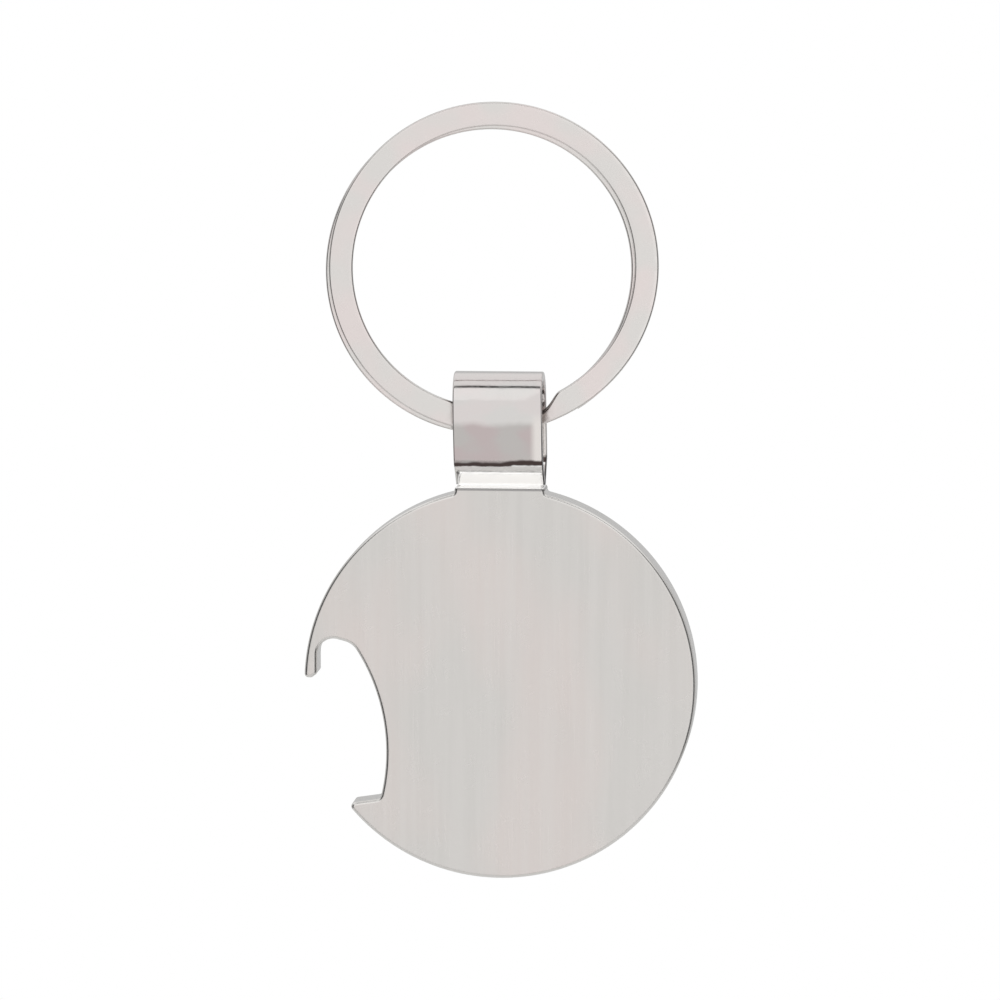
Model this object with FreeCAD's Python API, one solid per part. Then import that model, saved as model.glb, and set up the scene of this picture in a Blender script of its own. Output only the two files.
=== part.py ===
"""Keychain bottle opener: a cast disc with a hook, a folded strap link, a cross pin and a split ring.

Millimetres. X is across the disc, -Y is its front, +Z is up. The opener hangs from its split ring.
The origin is the hang point, on the lowest edge of the ring's top, inside the ring.
"""

import FreeCAD, Part
import math
import os

# Split ring: one flat spring-steel wire wound twice, with a step where it changes sides.
ring_outer_d = 32.0
wire_width = 2.4
wire_thickness = 0.97
wire_edge_r = 0.2
coil_gap = 0.06
coil_offset_x = -0.25
coil_offset_z = -0.38
step_start_deg = -60.0
step_end_deg = -90.0
step_wire_width = 1.75
step_sections = 9
free_end_gap_deg = 2.0
ring_twist_deg = 8.0

# Strap link: one strip folded over the ring, with two tails in the disc's pocket.
strip_thickness = 0.8
strip_edge_r = 0.15
link_width = 8.6
link_depth = 6.1
link_height = 11.0
tail_width = 7.0
tail_length = 3.9
tail_gap = 0.1
tail_bend_r = 0.6
shoulder_bend_r = 0.75
top_bend_r = 2.45
shoulder_height = 2.4
slope_deg = 45.0

# Opener disc: cast in one piece, with its neck, hook, lip and pocket.
disc_d = 38.0
disc_thickness = 4.0
rim_r = 0.4
neck_width = 8.75
neck_top = 19.2
neck_root = 17.0
neck_foot_r = 0.5
pocket_clearance = 0.05

# Cap mouth, in the disc's plane, measured from the disc's centre.
hook_tip = (-18.28, 0.42)
hook_inner_x = -17.76
hook_bevel_z = 0.83
arch_corner_z = 4.75
mouth_wall_centre = (-29.75, -6.78)
mouth_wall_r = 18.7
wall_top_z = 3.79
wall_bottom_z = -11.37
lip_corner = (-14.86, -11.85)
arch_left_r = 1.6
arch_right_r = 2.0
wall_bottom_r = 0.6
lip_tip_r = 0.45
hook_tip_r = 0.25

# Cross pin: pressed in from the back, through both tails, blind in the front wall.
pin_d = 1.5
pin_depth = 3.35
pin_end_chamfer = 0.15
pin_below_neck = 2.0

# Where the opener sits on the ring.
disc_below_ring = 40.18
opener_x = 0.84

ring_outer_r = ring_outer_d / 2
ring_inner_r = ring_outer_r - wire_width
wire_mid_r = ring_outer_r - wire_width / 2
opener_y = opener_x * math.tan(math.radians(ring_twist_deg))
ring_centre_z = -ring_inner_r - coil_offset_z / 2
opener_z = ring_centre_z - disc_below_ring
pocket_width = 2 * strip_thickness + tail_gap + pocket_clearance

vector = FreeCAD.Vector
across = vector(1, 0, 0)
back = vector(0, 1, 0)
up = vector(0, 0, 1)


def line(start, end):
    return Part.LineSegment(start, end).toShape()


def rounded_wire(points, radii):
    """A wire through the points, with a tangent arc of the given radius at each inner point."""
    edges = []
    start = points[0]
    for before, corner, after, radius in zip(points, points[1:], points[2:], radii):
        to_before = (before - corner).normalize()
        to_after = (after - corner).normalize()
        half_angle = to_before.getAngle(to_after) / 2
        tangent = radius / math.tan(half_angle)
        inward = (to_before + to_after).normalize()
        arc_start = corner + to_before * tangent
        arc_middle = corner + inward * (radius / math.sin(half_angle) - radius)
        arc_end = corner + to_after * tangent
        edges.append(line(start, arc_start))
        edges.append(Part.Arc(arc_start, arc_middle, arc_end).toShape())
        start = arc_end
    edges.append(line(start, points[-1]))
    return Part.Wire(edges)


def rounded_rectangle(centre, side_a, side_b, width_a, width_b, radius):
    """A closed wire: a rectangle about centre along two unit directions, with rounded corners."""
    half_a = side_a * (width_a / 2)
    half_b = side_b * (width_b / 2)
    corners = [centre + half_a + half_b, centre - half_a + half_b]
    corners += [centre - half_a - half_b, centre + half_a - half_b]
    start = centre + half_a
    loop = rounded_wire([start] + corners + [start], [radius] * 4)
    return loop


def corner_edge(shape, x, z):
    """The edge through the disc's thickness that stands nearest to a place in the disc's plane."""
    def is_through(edge):
        box = edge.BoundBox
        return box.YLength > disc_thickness / 2 and box.XLength + box.ZLength < 1e-4
    def distance(edge):
        return math.hypot(edge.Vertexes[0].X - x, edge.Vertexes[0].Z - z)
    return min((edge for edge in shape.Edges if is_through(edge)), key=distance)


def face_edges(shape, distance):
    """The edges that lie in the planes y = -distance and y = distance."""
    def in_face(edge):
        box = edge.BoundBox
        return abs(abs(box.YMin) - distance) < 1e-4 and box.YLength < 1e-4
    return [edge for edge in shape.Edges if in_face(edge)]


def wall_point(z):
    """The point of the cap mouth's long curved wall at a height."""
    centre_x, centre_z = mouth_wall_centre
    return vector(centre_x + math.sqrt(mouth_wall_r**2 - (z - centre_z) ** 2), 0, z)


def plane_point(x, z):
    return vector(x, 0, z)


def mouth_cutter():
    """The cap mouth, open to the left of the disc, with sharp corners."""
    far_x = -disc_d
    wall_top = wall_point(wall_top_z)
    wall_bottom = wall_point(wall_bottom_z)
    wall_middle = wall_point((wall_top_z + wall_bottom_z) / 2)
    lip_slope = (lip_corner[1] - wall_bottom.z) / (lip_corner[0] - wall_bottom.x)
    far_z = wall_bottom.z + lip_slope * (far_x - wall_bottom.x)
    outline = [
        line(plane_point(far_x, hook_tip[1]), plane_point(*hook_tip)),
        line(plane_point(*hook_tip), plane_point(hook_inner_x, hook_bevel_z)),
        line(plane_point(hook_inner_x, hook_bevel_z), plane_point(hook_inner_x, arch_corner_z)),
        line(plane_point(hook_inner_x, arch_corner_z), wall_top),
        Part.Arc(wall_top, wall_middle, wall_bottom).toShape(),
        line(wall_bottom, plane_point(far_x, far_z)),
        line(plane_point(far_x, far_z), plane_point(far_x, hook_tip[1])),
    ]
    face = Part.Face(Part.Wire(outline))
    cutter = face.extrude(back * (2 * disc_thickness))
    cutter.translate(back * -disc_thickness)
    return cutter


def neck():
    """The flat-topped pad where the link goes in, as thick as the disc."""
    corner = vector(-neck_width / 2, -disc_thickness / 2, neck_root)
    return Part.makeBox(neck_width, disc_thickness, neck_top - neck_root, corner)


def disc_blank():
    """The disc and its neck, with the cap mouth cut and all corners sharp."""
    disc = Part.makeCylinder(disc_d / 2, disc_thickness, back * (-disc_thickness / 2), back)
    return disc.cut(mouth_cutter()).fuse(neck()).removeSplitter()


def rounded_disc():
    """The disc with the corners of its outline rounded, and then its rim on both faces."""
    wall_top = wall_point(wall_top_z)
    wall_bottom = wall_point(wall_bottom_z)
    foot_x = neck_width / 2
    foot_z = math.sqrt((disc_d / 2) ** 2 - foot_x**2)
    corner_radii = [
        ((hook_inner_x, arch_corner_z), arch_left_r),
        ((wall_top.x, wall_top.z), arch_right_r),
        ((wall_bottom.x, wall_bottom.z), wall_bottom_r),
        (lip_corner, lip_tip_r),
        (hook_tip, hook_tip_r),
        ((hook_inner_x, hook_bevel_z), hook_tip_r),
        ((foot_x, foot_z), neck_foot_r),
        ((-foot_x, foot_z), neck_foot_r),
    ]
    disc = disc_blank()
    for (x, z), radius in corner_radii:
        disc = disc.makeFillet(radius, [corner_edge(disc, x, z)])
    return disc.makeFillet(rim_r, face_edges(disc, disc_thickness / 2))


def pin_hole_z():
    return neck_top - pin_below_neck


def pin(radius):
    """The cross pin's cylinder, from the disc's back face inwards."""
    start = vector(0, disc_thickness / 2, pin_hole_z())
    return Part.makeCylinder(radius, pin_depth, start, back * -1)


def opener_body():
    """The cast disc: hook, lip, neck, the link's pocket and the pin's blind hole."""
    body = rounded_disc()
    pocket_depth = tail_length + pocket_clearance
    width = tail_width + 2 * pocket_clearance
    corner = vector(-width / 2, -pocket_width / 2, neck_top - pocket_depth)
    pocket = Part.makeBox(width, pocket_width, pocket_depth + 1, corner)
    return body.cut(pocket).cut(pin(pin_d / 2))


def link_path():
    """The strip's middle line, from one tail over the top to the other, in the YZ plane."""
    tail_y = (strip_thickness + tail_gap) / 2
    leg_y = (link_depth - strip_thickness) / 2
    tail_z = neck_top - tail_length
    half_turn = math.tan(math.radians(slope_deg / 2)) * strip_thickness / 2
    shoulder_z = neck_top + shoulder_height + half_turn
    bend_z = shoulder_z - (leg_y - tail_y) / math.tan(math.radians(slope_deg))
    top_z = neck_top + link_height - strip_thickness / 2
    side = [(tail_y, tail_z), (tail_y, bend_z), (leg_y, shoulder_z), (leg_y, top_z)]
    points = [vector(0, -y, z) for y, z in side]
    points += [vector(0, y, z) for y, z in reversed(side)]
    radii = [tail_bend_r, shoulder_bend_r, top_bend_r]
    return rounded_wire(points, radii + radii[::-1])


def link_strap():
    """The folded strip, with its tails cut narrower than the part that shows."""
    path = link_path()
    start = path.Vertexes[0].Point
    profile = rounded_rectangle(start, across, back, link_width, strip_thickness, strip_edge_r)
    strap = path.makePipeShell([profile], True, False)
    for side in (-1, 1):
        reach = link_width
        centre_x = side * (tail_width / 2 + reach / 2)
        corner = vector(centre_x - reach / 2, -link_depth, neck_top - 2 * tail_length)
        strap = strap.cut(Part.makeBox(reach, 2 * link_depth, 2 * tail_length, corner))
    return strap.cut(pin(pin_d / 2))


def link_pin():
    """The cross pin, chamfered at both ends."""
    plain = pin(pin_d / 2)
    ends = [edge for edge in plain.Edges if isinstance(edge.Curve, Part.Circle)]
    return plain.makeChamfer(pin_end_chamfer, ends)


def coil_centre(layer):
    """The middle of the front (-1) or back (1) coil; the two don't lie quite behind each other."""
    return vector(coil_offset_x, wire_thickness + coil_gap, coil_offset_z) * (layer / 2)


def wire_section(angle_deg, width, layer):
    """The flat wire's section at an angle round the ring, in the front (-1) or back (1) layer."""
    angle = math.radians(angle_deg)
    outward = vector(math.cos(angle), 0, math.sin(angle))
    centre = coil_centre(layer) + outward * wire_mid_r
    return rounded_rectangle(centre, outward, back, width, wire_thickness, wire_edge_r)


def ring_turn(first_deg, sweep_deg, layer):
    """One turn of the wire, from first_deg round by sweep_deg."""
    section = Part.Face(wire_section(first_deg, wire_width, layer))
    return section.revolve(coil_centre(layer), back * -1, sweep_deg)


def ring_step():
    """The stretch where the wire crosses from the front layer to the back, and is narrower."""
    sections = []
    for index in range(step_sections):
        share = index / (step_sections - 1)
        smooth = share * share * (3 - 2 * share)
        angle = step_start_deg + (step_end_deg - step_start_deg) * share
        waist = math.sin(math.pi * share) ** 2
        width = wire_width - (wire_width - step_wire_width) * waist
        sections.append(wire_section(angle, width, 2 * smooth - 1))
    return Part.makeLoft(sections, True, False)


def split_ring():
    """The whole ring, one piece of wire, turned a little in the link's loop."""
    full = 360 - (step_start_deg - step_end_deg) - free_end_gap_deg
    front_turn = ring_turn(step_start_deg, full, -1)
    back_turn = ring_turn(step_start_deg + free_end_gap_deg, full, 1)
    ring = front_turn.fuse([ring_step(), back_turn])
    ring.translate(up * ring_centre_z)
    ring.rotate(vector(0, 0, 0), up, ring_twist_deg)
    return ring


def export(shape, node):
    solids = shape.Solids
    part = solids[0] if len(solids) == 1 else Part.makeCompound(solids)
    part.exportStep("parts/" + node + ".step")
    print(node, "solids", len(solids), "valid", shape.isValid(), "mm3", round(shape.Volume, 2))


def main():
    os.makedirs("parts", exist_ok=True)
    place = vector(opener_x, opener_y, opener_z)
    opener_pieces = {"opener_body": opener_body(), "link_strap": link_strap(), "link_pin": link_pin()}
    for node, shape in opener_pieces.items():
        shape.translate(place)
        export(shape, node)
    export(split_ring(), "split_ring")


main()
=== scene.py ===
"""The looks of a keychain bottle opener that hangs from its split ring.

Dense pieces stand in for the disc, the link and the ring, and the pin keeps its CAD shape. The link's darker
lower half, a painted dark reflection and a painted bright reflection at its shoulder, and a painted contact
shadow and highlight at the neck, are colour set by height above the neck.
"""

import math

import bmesh
import bpy
from mathutils import Matrix, Vector
from mathutils.geometry import interpolate_bezier


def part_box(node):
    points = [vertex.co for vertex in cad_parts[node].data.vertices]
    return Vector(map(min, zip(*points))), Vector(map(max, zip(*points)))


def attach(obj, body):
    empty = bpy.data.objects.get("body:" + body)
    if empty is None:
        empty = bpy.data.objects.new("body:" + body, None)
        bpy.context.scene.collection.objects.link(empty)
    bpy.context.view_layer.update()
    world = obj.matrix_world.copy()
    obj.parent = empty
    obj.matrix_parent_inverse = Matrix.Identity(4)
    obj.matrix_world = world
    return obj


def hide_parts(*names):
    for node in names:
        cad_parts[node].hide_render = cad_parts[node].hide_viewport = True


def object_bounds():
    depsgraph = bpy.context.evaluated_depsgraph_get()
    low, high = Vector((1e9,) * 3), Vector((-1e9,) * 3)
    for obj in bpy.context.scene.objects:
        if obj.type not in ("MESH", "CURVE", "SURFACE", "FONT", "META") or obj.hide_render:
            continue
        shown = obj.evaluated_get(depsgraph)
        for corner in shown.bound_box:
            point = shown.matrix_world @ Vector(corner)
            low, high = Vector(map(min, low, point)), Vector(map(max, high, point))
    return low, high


MM = 0.001
ACROSS = Vector((1, 0, 0))
BACK = Vector((0, 1, 0))

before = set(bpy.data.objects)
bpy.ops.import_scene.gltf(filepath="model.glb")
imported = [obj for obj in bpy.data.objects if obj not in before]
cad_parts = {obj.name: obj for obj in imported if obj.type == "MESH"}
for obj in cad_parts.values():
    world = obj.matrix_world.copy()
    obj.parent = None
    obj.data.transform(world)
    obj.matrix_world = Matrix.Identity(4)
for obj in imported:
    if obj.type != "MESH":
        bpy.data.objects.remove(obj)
cad_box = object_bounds()

# ---------------------------------------------------------------- node helpers


class Graph:
    """A material's or world's nodes, made and linked by short calls."""

    def __init__(self, tree):
        self.tree = tree
        self.tree.nodes.clear()

    def node(self, kind, settings=None, **inputs):
        made = self.tree.nodes.new(kind)
        for name, value in (settings or {}).items():
            setattr(made, name, value)
        for name, value in inputs.items():
            self.feed(made.inputs[name.replace("_", " ")], value)
        return made

    def feed(self, socket, value):
        if isinstance(value, bpy.types.NodeSocket):
            self.tree.links.new(value, socket)
        else:
            socket.default_value = value

    def math(self, operation, a, b=0.0, c=0.0):
        made = self.tree.nodes.new("ShaderNodeMath")
        made.operation = operation
        for socket, value in zip(made.inputs, (a, b, c)):
            self.feed(socket, value)
        return made.outputs[0]

    def remap(self, value, low, high, to_low=0.0, to_high=1.0):
        made = self.node("ShaderNodeMapRange", {"interpolation_type": "SMOOTHSTEP"}, Value=value)
        for name, number in (("From Min", low), ("From Max", high), ("To Min", to_low), ("To Max", to_high)):
            self.feed(made.inputs[name], number)
        return made.outputs[0]

    def mix(self, share, first, second):
        made = self.node("ShaderNodeMix", {"data_type": "RGBA"})
        self.feed(made.inputs[0], share)
        self.feed(made.inputs[6], first)
        self.feed(made.inputs[7], second)
        return made.outputs[2]

    def place(self, turn=(0.0, 0.0, 0.0)):
        """A point of the piece in millimetres, turned by degrees, so that patterns ride with the piece."""
        where = self.node("ShaderNodeTexCoord").outputs["Object"]
        turned = self.node("ShaderNodeMapping", Vector=where)
        turned.inputs["Rotation"].default_value = [math.radians(a) for a in turn]
        turned.inputs["Scale"].default_value = (1 / MM, 1 / MM, 1 / MM)
        return turned.outputs[0]

    def noise(self, sizes, detail=2.0, rough=0.5, turn=(0.0, 0.0, 0.0), shift=0.0):
        """Noise from 0 to 1 whose blobs have these sizes in millimetres along X, Y and Z."""
        scaled = self.node("ShaderNodeMapping", Vector=self.place(turn))
        scaled.inputs["Scale"].default_value = [1 / s for s in sizes]
        scaled.inputs["Location"].default_value = (shift, shift * 1.7, shift * 2.3)
        made = self.node("ShaderNodeTexNoise", Vector=scaled.outputs[0], Detail=detail, Roughness=rough)
        self.feed(made.inputs["Scale"], 1.0)
        return made.outputs["Fac"]

    def scratches(self, length, width, turn, rarity, shift):
        """Fine lines along one direction, broken up into separate scratches."""
        field = self.noise((width, width, length), 1.0, 0.4, turn, shift)
        lines = self.remap(self.math("ABSOLUTE", self.math("SUBTRACT", field, 0.5)), 0.0, 0.02, 1.0, 0.0)
        where = self.noise((length / 3, length / 3, length / 3), 0.0, 0.5, turn, shift + 11)
        return self.math("MULTIPLY", lines, self.remap(where, rarity, rarity + 0.08))

    def bump(self, height, microns, under=None):
        made = self.node("ShaderNodeBump", Height=height, Strength=1.0, Distance=microns * MM * MM)
        if under is not None:
            self.feed(made.inputs["Normal"], under)
        return made.outputs[0]


def metal(name, roughness):
    """A plated metal: its material, its graph and its shader, with the even values set on the shader."""
    material = bpy.data.materials.new(name)
    material.use_nodes = True
    graph = Graph(material.node_tree)
    shader = graph.node("ShaderNodeBsdfPrincipled", Metallic=1.0, Roughness=roughness)
    out = graph.node("ShaderNodeOutputMaterial")
    graph.feed(out.inputs["Surface"], shader.outputs[0])
    return material, graph, shader


def finish_metal(graph, shader, color, roughness, normal):
    graph.feed(shader.inputs["Base Color"], color)
    graph.feed(shader.inputs["Roughness"], roughness)
    graph.feed(shader.inputs["Normal"], normal)


# ---------------------------------------------------------------- shapes, in millimetres

# The sizes are those of the CAD parts, with small differences for the looks: the ring's wire is 0.1 narrower
# and draws in further beside the link, the link leans and its legs bow, and the rim, the hook's tip and the
# neck's corners and feet are rounded a little differently.
RING_OUTER_R = 15.9
WIRE_WIDTH = 2.3
WIRE_THICKNESS = 0.97
WIRE_EDGE_R = 0.2
COIL_GAP = 0.06
COIL_OFFSET_X = -0.25
COIL_OFFSET_Z = -0.38
STEP_START = -60.0
STEP_END = -90.0
# How much the wire draws in, and between which directions it narrows and widens again
NECKED_BY = 1.05
NECKING = (-62.0, -71.0)
WIDENING = (-80.0, -98.0)
FREE_END_GAP = 2.0
# The height of each slight wave along the wire, and how many times it passes per turn
WIRE_WAVES = ((0.012, 2.6), (0.006, 7.1))
RING_TWIST = 8.0

STRIP_THICKNESS = 0.8
STRIP_EDGE_R = 0.15
LINK_WIDTH = 8.6
LINK_DEPTH = 6.1
LINK_HEIGHT = 11.0
LINK_LEAN = 0.2
TAIL_WIDTH = 7.0
TAIL_LENGTH = 3.9
TAIL_GAP = 0.1
TAIL_BEND_R = 0.6
SHOULDER_BEND_R = 0.75
TOP_BEND_R = 2.45
LEG_BOW = 0.16
SHOULDER_HEIGHT = 2.4

DISC_R = 19.0
DISC_THICKNESS = 4.0
RIM_R = 0.38
NECK_WIDTH = 8.75
NECK_TOP = 19.2
POCKET_WIDTH = 7.1
POCKET_THICKNESS = 1.75
POCKET_DEPTH = 3.95
HOOK_TIP = (-18.28, 0.42)
HOOK_INNER_X = -17.76
HOOK_BEVEL_Z = 0.83
ARCH_CORNER_Z = 4.75
MOUTH_WALL_CENTRE = (-29.75, -6.78)
MOUTH_WALL_R = 18.7
WALL_TOP_Z = 3.79
WALL_BOTTOM_Z = -11.37
LIP_CORNER = (-14.86, -11.85)
HOOK_R = 0.4
ARCH_LEFT_R = 1.6
ARCH_RIGHT_R = 2.0
WALL_BOTTOM_R = 0.6
LIP_R = 0.45
NECK_CORNER_R = 0.4
NECK_FOOT_R = 0.34
PIN_R = 0.75
PIN_DEPTH = 3.35
PIN_Z = NECK_TOP - 2.0

PIN_SIDES = 48
CUTTER_OVERRUN = 1.0

CORNER_STEPS = 5
WIDE_CUTS = 6
BEND_STEPS = 16
RIM_STEPS = 6
STRIP_STEP = 0.25
OUTLINE_STEP = 0.25
CORNER_STEP = 0.08
SHARP_ANGLE = 40


def smooth_mesh(name, points, faces):
    """An object from points in millimetres, with its faces turned outwards."""
    mesh = bpy.data.meshes.new(name)
    mesh.from_pydata([point * MM for point in points], [], faces)
    work = bmesh.new()
    work.from_mesh(mesh)
    bmesh.ops.recalc_face_normals(work, faces=work.faces)
    work.to_mesh(mesh)
    work.free()
    piece = bpy.data.objects.new(name, mesh)
    bpy.context.scene.collection.objects.link(piece)
    return piece


def disc_place():
    """The middle of the disc, in millimetres."""
    low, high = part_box("opener_body")
    middle = (low + high) / 2 / MM
    return Vector((middle.x, middle.y, low.z / MM + DISC_R))


def take_over(piece, node, body, material):
    """The piece stands in for a CAD node, and its flats are shaded evenly up to their rounded edges."""
    piece.data.shade_smooth()
    piece.data.set_sharp_from_angle(angle=math.radians(SHARP_ANGLE))
    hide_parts(node)
    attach(piece, body)
    piece.data.materials.append(material)
    weighted = piece.modifiers.new("flats", "WEIGHTED_NORMAL")
    weighted.mode = "FACE_AREA"
    weighted.weight = 100
    weighted.keep_sharp = True


def section_loop(centre, side_a, side_b, width_a, width_b, radius):
    """Points round a rectangle with rounded corners, with cuts along its two wide sides."""
    corners = ((1, 1), (-1, 1), (-1, -1), (1, -1))
    points = []
    for quarter, (sign_a, sign_b) in enumerate(corners):
        middle = side_a * (sign_a * (width_a / 2 - radius)) + side_b * (sign_b * (width_b / 2 - radius))
        for step in range(CORNER_STEPS + 1):
            angle = (quarter + step / CORNER_STEPS) * math.pi / 2
            outward = side_a * math.cos(angle) + side_b * math.sin(angle)
            points.append(centre + middle + outward * radius)
        if quarter % 2 == 0:
            start = points[-1]
            end = start - side_a * (sign_a * (width_a - 2 * radius))
            points += [start.lerp(end, cut / WIDE_CUTS) for cut in range(1, WIDE_CUTS)]
    return points


def swept_mesh(name, sections):
    """A bar through a row of section loops, closed at both ends."""
    count = len(sections[0])
    faces = [list(range(count))]
    for row in range(len(sections) - 1):
        first = row * count
        for side in range(count):
            after = (side + 1) % count
            faces.append([first + side, first + count + side, first + count + after, first + after])
    last = (len(sections) - 1) * count
    faces.append(list(range(last, last + count))[::-1])
    return smooth_mesh(name, [point for section in sections for point in section], faces)


def share_between(value, start, end):
    """How far a value has come from start to end, held between 0 and 1."""
    return min(max((value - start) / (end - start), 0), 1)


def smooth_share(value, start, end):
    """The same share, with an even start and end."""
    share = share_between(value, start, end)
    return share * share * (3 - 2 * share)


def ring_wire():
    """The flat wire as one bar: the front turn, the step to the back layer, and the back turn."""
    step_sweep = STEP_START - STEP_END
    turn = 360 - step_sweep - FREE_END_GAP
    total = 2 * turn + step_sweep
    twist = Matrix.Rotation(math.radians(RING_TWIST), 3, "Z")
    low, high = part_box("split_ring")
    lift = Vector((0, 0, (low.z + high.z) / 2 / MM))
    sections = []
    for index in range(round(total) + 1):
        degrees = STEP_START + turn - total * index / round(total)
        layer = 2 * smooth_share(degrees, STEP_START, STEP_END) - 1
        necked = smooth_share(degrees, *NECKING) * (1 - smooth_share(degrees, *WIDENING))
        width = WIRE_WIDTH - NECKED_BY * necked
        angle = math.radians(degrees)
        outward = Vector((math.cos(angle), 0, math.sin(angle)))
        wobble = BACK * sum(height * math.sin(angle * rate) for height, rate in WIRE_WAVES)
        coil = Vector((COIL_OFFSET_X, WIRE_THICKNESS + COIL_GAP, COIL_OFFSET_Z)) * (layer / 2)
        centre = lift + coil + wobble + outward * (RING_OUTER_R - width / 2)
        loop = section_loop(centre, outward, BACK, width, WIRE_THICKNESS, WIRE_EDGE_R)
        sections.append([twist @ point for point in loop])
    return swept_mesh("ring_wire", sections)


def rounded_path(points, radii, step):
    """A dense path through the points, with an arc of the given radius at each inner point."""
    path = [points[0]]
    for before, corner, after, radius in zip(points, points[1:], points[2:], radii):
        to_before = (before - corner).normalized()
        to_after = (after - corner).normalized()
        half_angle = to_before.angle(to_after) / 2
        centre = corner + (to_before + to_after).normalized() * (radius / math.sin(half_angle))
        first = corner + to_before * (radius / math.tan(half_angle)) - centre
        last = corner + to_after * (radius / math.tan(half_angle)) - centre
        path += evenly(path[-1], centre + first, step)
        arms = [first.slerp(last, index / BEND_STEPS).normalized() for index in range(1, BEND_STEPS + 1)]
        path += [centre + arm * radius for arm in arms]
    return path + evenly(path[-1], points[-1], step)


def evenly(start, end, step):
    """Points from start to end, without the start itself."""
    count = max(round((end - start).length / step), 1)
    return [start.lerp(end, index / count) for index in range(1, count + 1)]


def link_strip():
    """The strip folded over the ring, its legs bowed outwards, leaning a little to the left at its top."""
    tail_y = (STRIP_THICKNESS + TAIL_GAP) / 2
    leg_y = (LINK_DEPTH - STRIP_THICKNESS) / 2
    shoulder_z = NECK_TOP + SHOULDER_HEIGHT + math.tan(math.radians(22.5)) * STRIP_THICKNESS / 2
    bend_z = shoulder_z - (leg_y - tail_y)
    top_z = NECK_TOP + LINK_HEIGHT - STRIP_THICKNESS / 2
    side = [(tail_y, NECK_TOP - TAIL_LENGTH), (tail_y, bend_z), (leg_y, shoulder_z), (leg_y, top_z)]
    points = [Vector((0, -y, z)) for y, z in side] + [Vector((0, y, z)) for y, z in reversed(side)]
    radii = [TAIL_BEND_R, SHOULDER_BEND_R, TOP_BEND_R]
    path = rounded_path(points, radii + radii[::-1], STRIP_STEP)
    place = disc_place()
    sections = []
    for index, point in enumerate(path):
        before = path[max(index - 1, 0)]
        after = path[min(index + 1, len(path) - 1)]
        outward = (after - before).normalized().cross(ACROSS)
        lean = LINK_LEAN * share_between(point.z, NECK_TOP, NECK_TOP + LINK_HEIGHT)
        bow = LEG_BOW * math.sin(math.pi * share_between(point.z, shoulder_z, top_z - TOP_BEND_R))
        offset = Vector((-lean, math.copysign(bow, point.y), 0))
        width = TAIL_WIDTH if point.z < NECK_TOP else LINK_WIDTH
        section = section_loop(point + offset, ACROSS, outward, width, STRIP_THICKNESS, STRIP_EDGE_R)
        sections.append([place + corner for corner in section])
    return swept_mesh("link_strip", sections)


def in_plane(x, z):
    """A point of the disc's middle plane."""
    return Vector((x, 0, z))


def degrees_at(centre, point):
    """The direction of a point seen from a centre in the disc's plane."""
    return math.degrees(math.atan2(point.z - centre[1], point.x - centre[0]))


def arc_points(centre, radius, start, end):
    """Points along an arc about a centre in the disc's plane, from start degrees to end degrees."""
    sweep = math.radians(end - start)
    count = max(round(abs(sweep) * radius / OUTLINE_STEP), 1)
    angles = [math.radians(start) + sweep * index / count for index in range(count + 1)]
    return [in_plane(centre[0] + radius * math.cos(a), centre[1] + radius * math.sin(a)) for a in angles]


def wall_point(z):
    """The point of the cap mouth's long curved wall at a height."""
    centre_x, centre_z = MOUTH_WALL_CENTRE
    return in_plane(centre_x + math.sqrt(MOUTH_WALL_R**2 - (z - centre_z) ** 2), z)


def trimmed(side, length):
    """A side without its first stretch of the given length."""
    for index in range(len(side) - 1):
        piece = (side[index + 1] - side[index]).length
        if piece > length:
            return [side[index].lerp(side[index + 1], length / piece)] + side[index + 1:]
        length -= piece
    return side[-1:]


def rounded_corner(before, after, radius):
    """Two sides cut back at the corner they share, and the arc that joins them."""
    to_before = (before[-2] - before[-1]).normalized()
    to_after = (after[1] - after[0]).normalized()
    half_angle = to_before.angle(to_after) / 2
    tangent = radius / math.tan(half_angle)
    before = trimmed(before[::-1], tangent)[::-1]
    after = trimmed(after, tangent)
    handle = radius * 4 / 3 * math.tan((math.pi / 2 - half_angle) / 2)
    start_handle = before[-1] + (before[-1] - before[-2]).normalized() * handle
    end_handle = after[0] - (after[1] - after[0]).normalized() * handle
    count = max(round(radius * (math.pi - 2 * half_angle) / CORNER_STEP), 4)
    arc = interpolate_bezier(before[-1], start_handle, end_handle, after[0], count + 1)
    return before, arc[1:-1], after


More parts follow.
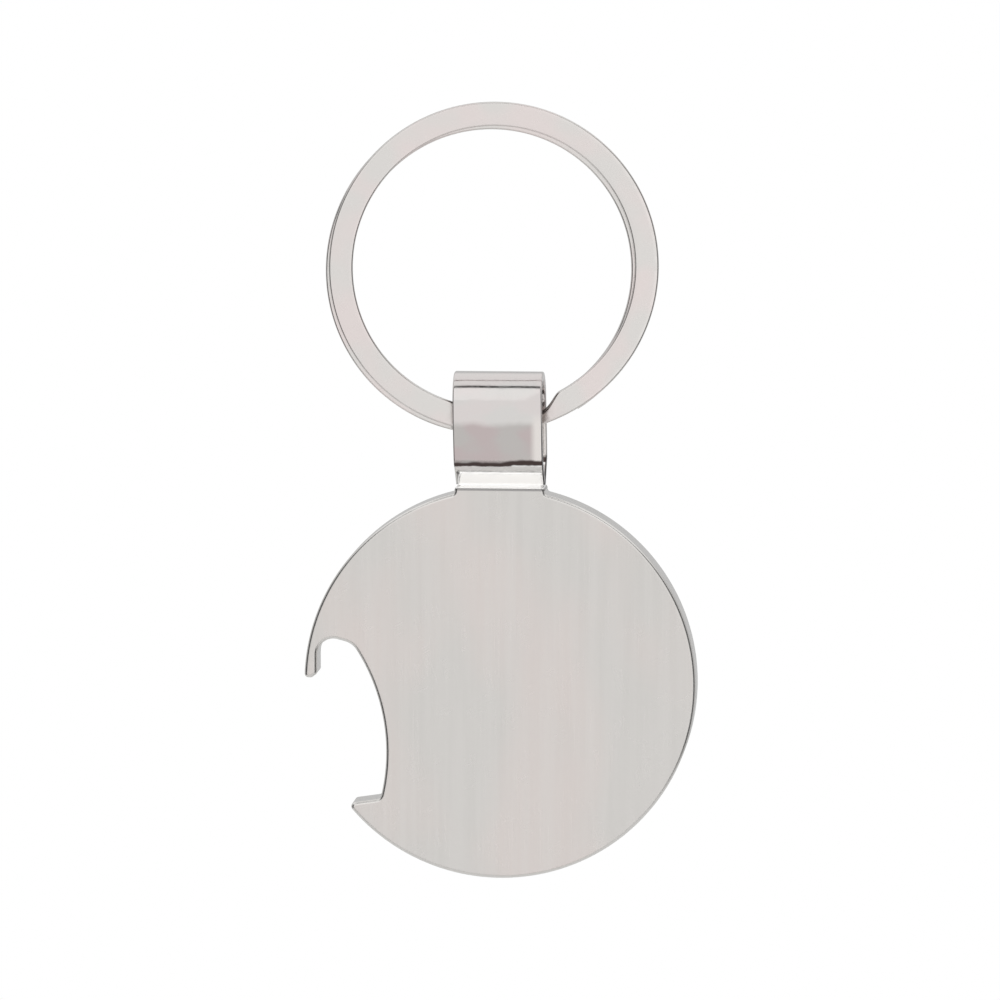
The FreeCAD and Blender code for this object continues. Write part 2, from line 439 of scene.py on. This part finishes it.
def disc_sides():
    """The sides of the disc's outline, seen from the front, with the rounding at the end of each."""
    foot_z = math.sqrt(DISC_R**2 - NECK_WIDTH**2 / 4)
    top = in_plane(0, NECK_TOP)
    neck_left = in_plane(-NECK_WIDTH / 2, NECK_TOP)
    neck_right = in_plane(NECK_WIDTH / 2, NECK_TOP)
    foot_left = in_plane(-NECK_WIDTH / 2, foot_z)
    foot_right = in_plane(NECK_WIDTH / 2, foot_z)
    hook_outer = in_plane(-math.sqrt(DISC_R**2 - HOOK_TIP[1] ** 2), HOOK_TIP[1])
    hook_tip = in_plane(*HOOK_TIP)
    bevel = in_plane(HOOK_INNER_X, HOOK_BEVEL_Z)
    arch = in_plane(HOOK_INNER_X, ARCH_CORNER_Z)
    wall_top = wall_point(WALL_TOP_Z)
    wall_bottom = wall_point(WALL_BOTTOM_Z)
    lip = in_plane(*LIP_CORNER)
    centre = (0, 0)
    left_arc = arc_points(centre, DISC_R, degrees_at(centre, foot_left), degrees_at(centre, hook_outer))
    wall_ends = [degrees_at(MOUTH_WALL_CENTRE, end) for end in (wall_top, wall_bottom)]
    long_arc = arc_points(centre, DISC_R, degrees_at(centre, lip), degrees_at(centre, foot_right))
    return [
        ([top] + evenly(top, neck_left, OUTLINE_STEP), NECK_CORNER_R),
        ([neck_left] + evenly(neck_left, foot_left, CORNER_STEP), NECK_FOOT_R),
        (left_arc, HOOK_R),
        ([hook_outer] + evenly(hook_outer, hook_tip, CORNER_STEP), HOOK_R),
        ([hook_tip] + evenly(hook_tip, bevel, CORNER_STEP), HOOK_R),
        ([bevel] + evenly(bevel, arch, OUTLINE_STEP), ARCH_LEFT_R),
        ([arch] + evenly(arch, wall_top, OUTLINE_STEP), ARCH_RIGHT_R),
        (arc_points(MOUTH_WALL_CENTRE, MOUTH_WALL_R, *wall_ends), WALL_BOTTOM_R),
        ([wall_bottom] + evenly(wall_bottom, lip, OUTLINE_STEP), LIP_R),
        (long_arc, NECK_FOOT_R),
        ([foot_right] + evenly(foot_right, neck_right, CORNER_STEP), NECK_CORNER_R),
        ([neck_right] + evenly(neck_right, top, OUTLINE_STEP), 0),
    ]


def disc_outline():
    """All points of the disc's outline, once round from the middle of the neck's top."""
    sides, radii = zip(*disc_sides())
    outline = []
    current = sides[0]
    for following, radius in zip(sides[1:], radii):
        current, arc, following = rounded_corner(current, following, radius)
        outline += current + arc
        current = following
    return outline + current[:-1]


def disc_levels():
    """How far the outline is drawn in and how deep it lies, from the front face to the back face."""
    half = DISC_THICKNESS / 2
    quarter = [math.radians(90 * index / RIM_STEPS) for index in range(RIM_STEPS + 1)]
    front = [(RIM_R * (1 - math.sin(a)), -half + RIM_R * (1 - math.cos(a))) for a in quarter]
    return front + [(inset, -depth) for inset, depth in reversed(front)]


def cut_out(piece, cutter):
    """Take a cutter's shape out of a piece, and remove the cutter."""
    boolean = piece.modifiers.new("cut", "BOOLEAN")
    boolean.operation = "DIFFERENCE"
    boolean.solver = "EXACT"
    boolean.object = cutter
    bpy.context.view_layer.update()
    result = piece.evaluated_get(bpy.context.evaluated_depsgraph_get())
    piece.data = bpy.data.meshes.new_from_object(result)
    piece.modifiers.clear()
    bpy.data.objects.remove(cutter)


def pocket_cutter(place):
    """The slot in the neck's top that takes the link's two tails."""
    signs = ((-1, -1), (1, -1), (1, 1), (-1, 1))
    corners = [(POCKET_WIDTH / 2 * across, POCKET_THICKNESS / 2 * back) for across, back in signs]
    heights = (NECK_TOP - POCKET_DEPTH, NECK_TOP + CUTTER_OVERRUN)
    return swept_mesh("pocket", [[place + Vector((x, y, z)) for x, y in corners] for z in heights])


def pin_cutter(place):
    """The cross pin's hole, from the back face inwards."""
    angles = [2 * math.pi * index / PIN_SIDES for index in range(PIN_SIDES)]
    ring = [in_plane(PIN_R * math.cos(a), PIN_Z + PIN_R * math.sin(a)) for a in angles]
    depths = (DISC_THICKNESS / 2 - PIN_DEPTH, DISC_THICKNESS / 2 + CUTTER_OVERRUN)
    return swept_mesh("pin_hole", [[place + point + BACK * depth for point in ring] for depth in depths])


def disc_casting():
    """The cast disc with its hook, lip and neck, all its edges rounded, the pocket and the pin's hole."""
    outline = disc_outline()
    place = disc_place()
    following = outline[1:] + outline[:1]
    along = [(after - outline[index - 1]).normalized() for index, after in enumerate(following)]
    inward = [direction.cross(BACK) for direction in along]
    sections = []
    for inset, depth in disc_levels():
        level = place + BACK * depth
        sections.append([level + point + side * inset for point, side in zip(outline, inward)])
    disc = swept_mesh("disc_casting", sections)
    cut_out(disc, pocket_cutter(place))
    cut_out(disc, pin_cutter(place))
    return disc


# ---------------------------------------------------------------- materials

# Limits in millimetres between which a colour changes: where the change begins, then where it is complete
CONTACT_SHADOW_DEPTH = (0.42, 0.32)
NECK_HIGHLIGHT_DEPTH = (0.2, 0.12)
DARKER_LOW_HEIGHT = (6.6, 5.8)
DARK_REFLECTION_HEIGHT = (2.72, 2.45)
BRIGHT_REFLECTION_HEIGHT = (2.2, 2.05)
RUBBED_HEIGHT = (7.6, 6.2)
RUBBED_SIDE = (2.9, 3.7)
SHADED_HEIGHT = (2.9, 2.5)
SHADED_FRONT = (2.5, 2.75)
SHADED_SIDE = (4.14, 4.2)
BAND_WANDER = 0.9

COOL_NICKEL = (0.600, 0.583, 0.562, 1)
WARM_NICKEL = (0.640, 0.593, 0.570, 1)
STREAK_NICKEL = (0.66, 0.64, 0.62, 1)
RIM_NICKEL = (0.70, 0.685, 0.665, 1)
# Painted contact shadow just below the neck's top, and a painted highlight on the neck's top
PAINTED_CONTACT_SHADOW = (0.30, 0.29, 0.285, 1)
PAINTED_NECK_HIGHLIGHT = (0.95, 0.94, 0.93, 1)
COOL_PLATE = (0.62, 0.605, 0.59, 1)
WARM_PLATE = (0.64, 0.60, 0.59, 1)
# Darker colours for the link's lower half
COOL_DARKER_PLATE = (0.465, 0.445, 0.43, 1)
WARM_DARKER_PLATE = (0.475, 0.415, 0.41, 1)
RUBBED_PLATE = (0.70, 0.665, 0.64, 1)
# Painted reflections on the link's shoulder: a dark line where it rolls back, then a bright slope
PAINTED_DARK_REFLECTION = (0.075, 0.055, 0.052, 1)
PAINTED_BRIGHT_REFLECTION = (0.985, 0.98, 0.97, 1)
SHADED_EDGE = (0.05, 0.045, 0.045, 1)
COOL_WIRE = (0.655, 0.635, 0.615, 1)
WARM_WIRE = (0.69, 0.63, 0.615, 1)
PIN_STEEL = (0.50, 0.49, 0.48, 1)
PIN_STAIN = (0.38, 0.36, 0.34, 1)


def face_share(graph):
    """1 on the flat faces that look to the front or back, 0 on the rounded rim and the side walls."""
    normal = graph.node("ShaderNodeTexCoord").outputs["Normal"]
    parts = graph.node("ShaderNodeSeparateXYZ", Vector=normal)
    return graph.remap(graph.math("ABSOLUTE", parts.outputs["Y"]), 0.9, 0.995)


def disc_color(graph, face):
    """Streaks and warm patches on the faces, a paler rim, and a painted contact shadow and a painted
    highlight on the neck where the link goes in.
    """
    broad = graph.noise((0.9, 0.9, 26.0), 2.0, 0.5, shift=4.0)
    patches = graph.noise((9.0, 9.0, 14.0), 1.0, 0.5, shift=9.0)
    color = graph.mix(graph.remap(patches, 0.35, 0.65), COOL_NICKEL, WARM_NICKEL)
    streak = graph.mix(graph.remap(broad, 0.3, 0.7, 0.0, 0.35), color, STREAK_NICKEL)
    rim_and_face = graph.mix(face, RIM_NICKEL, streak)
    where = graph.node("ShaderNodeSeparateXYZ", Vector=graph.place())
    below_top = graph.math("SUBTRACT", disc_place().z + NECK_TOP, where.outputs["Z"])
    # Painted contact shadow on the neck just below its top, where the link sits, then a painted highlight on
    # the neck's top
    with_contact_shadow = graph.mix(graph.remap(below_top, *CONTACT_SHADOW_DEPTH), rim_and_face, PAINTED_CONTACT_SHADOW)
    return graph.mix(graph.remap(below_top, *NECK_HIGHLIGHT_DEPTH), with_contact_shadow, PAINTED_NECK_HIGHLIGHT)


def satin_nickel():
    """The disc: nickel over zinc, brushed up and down on the faces and tumbled smoother on the rim."""
    material, graph, shader = metal("satin_nickel", 0.3)
    face = face_share(graph)
    fine = graph.noise((0.09, 0.09, 9.0), 3.0, 0.6)
    pits = graph.noise((0.16, 0.16, 0.16), 2.0, 0.6, shift=2.0)
    long_scratch = graph.scratches(9.0, 0.22, (0, 12, 0), 0.62, 3.0)
    cross_scratch = graph.scratches(6.0, 0.2, (0, -63, 0), 0.66, 7.0)
    scratch = graph.math("MAXIMUM", long_scratch, cross_scratch)

    brushed = graph.remap(fine, 0.25, 0.75, 0.27, 0.37)
    brushed = graph.math("SUBTRACT", brushed, graph.math("MULTIPLY", scratch, 0.08))
    tumbled = graph.remap(pits, 0.3, 0.7, 0.15, 0.24)
    gap = graph.math("SUBTRACT", brushed, tumbled)
    roughness = graph.math("MULTIPLY_ADD", gap, face, tumbled)

    grain = graph.bump(graph.math("MULTIPLY", fine, face), 1.6)
    grain = graph.bump(scratch, -1.2, grain)
    normal = graph.bump(pits, 1.0, grain)
    finish_metal(graph, shader, disc_color(graph, face), roughness, normal)
    return material


def link_color(graph):
    """The link's uneven tint, and the bands across it at their heights above the neck: a darker lower half,
    a painted dark reflection and a painted bright reflection at the shoulder, and painted shade at its right
    side.
    """
    middle = disc_place()
    where = graph.node("ShaderNodeSeparateXYZ", Vector=graph.place())
    above_neck = graph.math("SUBTRACT", where.outputs["Z"], middle.z + NECK_TOP)
    to_right = graph.math("SUBTRACT", where.outputs["X"], middle.x)
    forward = graph.math("SUBTRACT", middle.y, where.outputs["Y"])
    wander = graph.math("SUBTRACT", graph.noise((2.4, 2.4, 2.4), 2.0, 0.55, shift=17.0), 0.5)
    wavy = graph.math("ADD", above_neck, graph.math("MULTIPLY", wander, BAND_WANDER))
    tint = graph.remap(graph.noise((3.5, 3.5, 2.0), 1.0, 0.5, shift=8.0), 0.35, 0.65)

    # Darker towards the bottom: the lower half, below a wavy height
    darker_low = graph.mix(tint, COOL_DARKER_PLATE, WARM_DARKER_PLATE)
    color = graph.mix(graph.remap(wavy, *DARKER_LOW_HEIGHT), graph.mix(tint, COOL_PLATE, WARM_PLATE), darker_low)
    rubbed_side = graph.remap(to_right, *RUBBED_SIDE)
    rubbed = graph.math("MULTIPLY", rubbed_side, graph.remap(above_neck, *RUBBED_HEIGHT))
    color = graph.mix(rubbed, color, RUBBED_PLATE)
    # Painted reflections: a dark line where the front face rolls back at the shoulder, then a bright slope
    # below it
    color = graph.mix(graph.remap(wavy, *DARK_REFLECTION_HEIGHT), color, PAINTED_DARK_REFLECTION)
    color = graph.mix(graph.remap(wavy, *BRIGHT_REFLECTION_HEIGHT), color, PAINTED_BRIGHT_REFLECTION)
    front_edge = graph.remap(forward, *SHADED_FRONT)
    shaded = graph.math("MAXIMUM", front_edge, graph.remap(above_neck, *SHADED_HEIGHT))
    shaded = graph.math("MULTIPLY", shaded, graph.remap(to_right, *SHADED_SIDE))
    return graph.mix(shaded, color, SHADED_EDGE)


def bright_nickel():
    """The link: bright plate over rolled strip, with soft waves, pits and handling scratches."""
    material, graph, shader = metal("bright_nickel", 0.12)
    waves = graph.noise((2.6, 2.6, 1.7), 1.0, 0.4, shift=5.0)
    orange_peel = graph.noise((0.35, 0.35, 0.35), 2.0, 0.5, shift=1.0)
    scratch = graph.scratches(5.0, 0.16, (0, 8, 0), 0.58, 6.0)
    roughness = graph.remap(orange_peel, 0.3, 0.7, 0.09, 0.16)
    roughness = graph.math("MULTIPLY_ADD", scratch, 0.12, roughness)
    normal = graph.bump(waves, 26.0)
    normal = graph.bump(orange_peel, 1.3, normal)
    normal = graph.bump(scratch, -1.0, normal)
    finish_metal(graph, shader, link_color(graph), roughness, normal)
    return material


def ring_nickel():
    """The split ring: plated flat wire, rubbed along its length and mottled where keys have scraped it."""
    material, graph, shader = metal("ring_nickel", 0.17)
    mottle = graph.noise((0.8, 0.8, 0.8), 3.0, 0.6, shift=3.0)
    grain = graph.noise((0.13, 0.13, 0.13), 2.0, 0.5, shift=6.0)
    tint = graph.noise((4.5, 4.5, 4.5), 1.0, 0.5, shift=2.0)
    rub = graph.scratches(4.0, 0.14, (0, 34, 0), 0.55, 2.0)
    scrape = graph.scratches(3.0, 0.14, (0, -48, 0), 0.57, 9.0)
    scratch = graph.math("MAXIMUM", rub, scrape)

    color = graph.mix(graph.remap(tint, 0.35, 0.65), COOL_WIRE, WARM_WIRE)
    roughness = graph.remap(mottle, 0.3, 0.7, 0.13, 0.26)
    roughness = graph.math("MULTIPLY_ADD", scratch, 0.1, roughness)
    normal = graph.bump(mottle, 5.0)
    normal = graph.bump(grain, 0.7, normal)
    normal = graph.bump(scratch, -1.0, normal)
    finish_metal(graph, shader, color, roughness, normal)
    return material


def ground_steel():
    """The pin's end: plain steel, ground flush, a little darker than the plate."""
    material, graph, shader = metal("ground_steel", 0.35)
    lines = graph.noise((0.06, 0.06, 1.5), 2.0, 0.6, (0, 70, 0), 4.0)
    stain = graph.noise((0.7, 0.7, 0.7), 2.0, 0.5, shift=5.0)
    color = graph.mix(graph.remap(stain, 0.4, 0.7), PIN_STEEL, PIN_STAIN)
    finish_metal(graph, shader, color, graph.remap(lines, 0.3, 0.7, 0.28, 0.45), graph.bump(lines, 1.5))
    return material


def make_pieces():
    """Dense pieces in place of the disc, the link and the ring; the pin keeps its CAD shape."""
    take_over(disc_casting(), "opener_body", "opener", satin_nickel())
    take_over(link_strip(), "link_strap", "opener", bright_nickel())
    take_over(ring_wire(), "split_ring", "ring", ring_nickel())
    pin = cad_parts["link_pin"]
    pin.data.materials.clear()
    pin.data.materials.append(ground_steel())


# ---------------------------------------------------------------- floor, light and camera

FRONT_LEVEL = 1.06
BACK_LEVEL = 0.62
TOP_LEVEL = 1.05
GAP_LEVEL = 0.08
FLOOR_LEVEL = 1.3

# How far forward a direction points where each part of the tent begins: at the horizon, then overhead
GAP_FRONT = (0.62, 0.48)
FRONT_START = (0.86, 0.56)
GAP_BACK = (0.12, 0.40)
BACK_START = (-0.12, 0.34)
OVERHEAD = (0.3, 0.75)
UNDERNEATH = (-0.72, -0.86)

CAMERA_AZIMUTH = 4.8
CAMERA_ELEVATION = 6.5
CAMERA_DISTANCE = 0.7
SEEN_HEIGHT = 0.0967
AIM_OFFSET = (-0.1, 0, -0.95)
SENSOR_WIDTH = 36
KEY_OFFSET = (-0.25, -0.45, 0.35)
FILL_OFFSET = (0.35, -0.4, 0.1)
KEY_WATTS = 0.16
FILL_WATTS = 0.12
FLOOR_RADIUS = 0.45
FLOOR_DROP = 0.15


def soft_world():
    """A light tent: bright in front and below, grey behind, with a dark gap between that edges reflect."""
    world = bpy.data.worlds.new("studio")
    bpy.context.scene.world = world
    world.use_nodes = True
    graph = Graph(world.node_tree)
    direction = graph.node("ShaderNodeTexCoord").outputs["Generated"]
    parts = graph.node("ShaderNodeSeparateXYZ", Vector=direction)
    front = graph.math("MULTIPLY", parts.outputs["Y"], -1.0)
    above = graph.remap(parts.outputs["Z"], *OVERHEAD)
    limits = (GAP_FRONT, FRONT_START, GAP_BACK, BACK_START)
    gap_front, front_start, gap_back, back_start = [
        graph.math("MULTIPLY_ADD", above, overhead - level, level) for level, overhead in limits
    ]
    level = graph.remap(front, gap_front, front_start, GAP_LEVEL, FRONT_LEVEL)
    behind = graph.remap(front, gap_back, back_start)
    back_level = graph.math("MULTIPLY_ADD", above, TOP_LEVEL - BACK_LEVEL, BACK_LEVEL - GAP_LEVEL)
    level = graph.math("MULTIPLY_ADD", behind, back_level, level)
    below = graph.remap(parts.outputs["Z"], *UNDERNEATH)
    level = graph.math("MULTIPLY_ADD", below, graph.math("SUBTRACT", FLOOR_LEVEL, level), level)
    light = graph.node("ShaderNodeBackground", Color=(1, 1, 1, 1), Strength=level)
    seen = graph.node("ShaderNodeBackground", Color=(1, 1, 1, 1), Strength=1.0)
    to_camera = graph.node("ShaderNodeLightPath").outputs["Is Camera Ray"]
    both = graph.node("ShaderNodeMixShader")
    graph.feed(both.inputs[0], to_camera)
    graph.feed(both.inputs[1], light.outputs[0])
    graph.feed(both.inputs[2], seen.outputs[0])
    out = graph.node("ShaderNodeOutputWorld")
    graph.feed(out.inputs["Surface"], both.outputs[0])


def area_light(name, place, target, width, height, watts):
    data = bpy.data.lights.new(name, "AREA")
    data.shape = "RECTANGLE"
    data.size = width
    data.size_y = height
    data.energy = watts
    light = bpy.data.objects.new(name, data)
    bpy.context.scene.collection.objects.link(light)
    light.location = place
    light.rotation_euler = (target - place).to_track_quat("-Z", "Y").to_euler()


def floor_material():
    """A plain pale floor that fades out before its edge."""
    material = bpy.data.materials.new("pale_floor")
    material.use_nodes = True
    graph = Graph(material.node_tree)
    where = graph.node("ShaderNodeTexCoord").outputs["Object"]
    distance = graph.node("ShaderNodeVectorMath", {"operation": "LENGTH"})
    graph.feed(distance.inputs[0], where)
    fade = graph.remap(distance.outputs["Value"], FLOOR_RADIUS * 0.3, FLOOR_RADIUS * 0.95)
    pale = graph.node("ShaderNodeBsdfDiffuse", Color=(0.93, 0.93, 0.925, 1))
    clear = graph.node("ShaderNodeBsdfTransparent")
    both = graph.node("ShaderNodeMixShader")
    graph.feed(both.inputs[0], fade)
    graph.feed(both.inputs[1], pale.outputs[0])
    graph.feed(both.inputs[2], clear.outputs[0])
    out = graph.node("ShaderNodeOutputMaterial")
    graph.feed(out.inputs["Surface"], both.outputs[0])
    return material


def make_floor(low, high):
    """The floor, below the object so that its shadow stays out of the picture."""
    bpy.ops.mesh.primitive_circle_add(vertices=96, radius=FLOOR_RADIUS, fill_type="NGON")
    floor = bpy.context.object
    floor.name = "floor"
    floor.location = ((low.x + high.x) / 2, (low.y + high.y) / 2, low.z - FLOOR_DROP)
    floor.data.materials.append(floor_material())


def make_camera(low, high):
    """Aimed at the object's middle, from a few degrees above it and to its right."""
    azimuth = math.radians(CAMERA_AZIMUTH)
    elevation = math.radians(CAMERA_ELEVATION)
    middle = Vector(((low.x + high.x) / 2, 0, (low.z + high.z) / 2))
    target = middle + Vector(AIM_OFFSET) * MM
    data = bpy.data.cameras.new("camera")
    data.sensor_width = SENSOR_WIDTH
    data.lens = SENSOR_WIDTH * CAMERA_DISTANCE / SEEN_HEIGHT
    data.clip_start = 0.01
    data.dof.use_dof = False
    camera = bpy.data.objects.new("camera", data)
    bpy.context.scene.collection.objects.link(camera)
    level = math.cos(elevation)
    towards = Vector((math.sin(azimuth) * level, -math.cos(azimuth) * level, math.sin(elevation)))
    camera.location = target + CAMERA_DISTANCE * towards
    camera.rotation_euler = (target - camera.location).to_track_quat("-Z", "Y").to_euler()
    bpy.context.scene.camera = camera


def make_lights(low, high):
    """Two weak soft lights in front of the object; the world gives most of the light."""
    middle = (low + high) / 2
    area_light("key", middle + Vector(KEY_OFFSET), middle, 0.6, 0.6, KEY_WATTS)
    area_light("fill", middle + Vector(FILL_OFFSET), middle, 0.5, 0.6, FILL_WATTS)


make_pieces()
make_camera(*cad_box)
soft_world()
make_lights(*cad_box)
make_floor(*cad_box)
bpy.context.scene.view_settings.view_transform = "Standard"
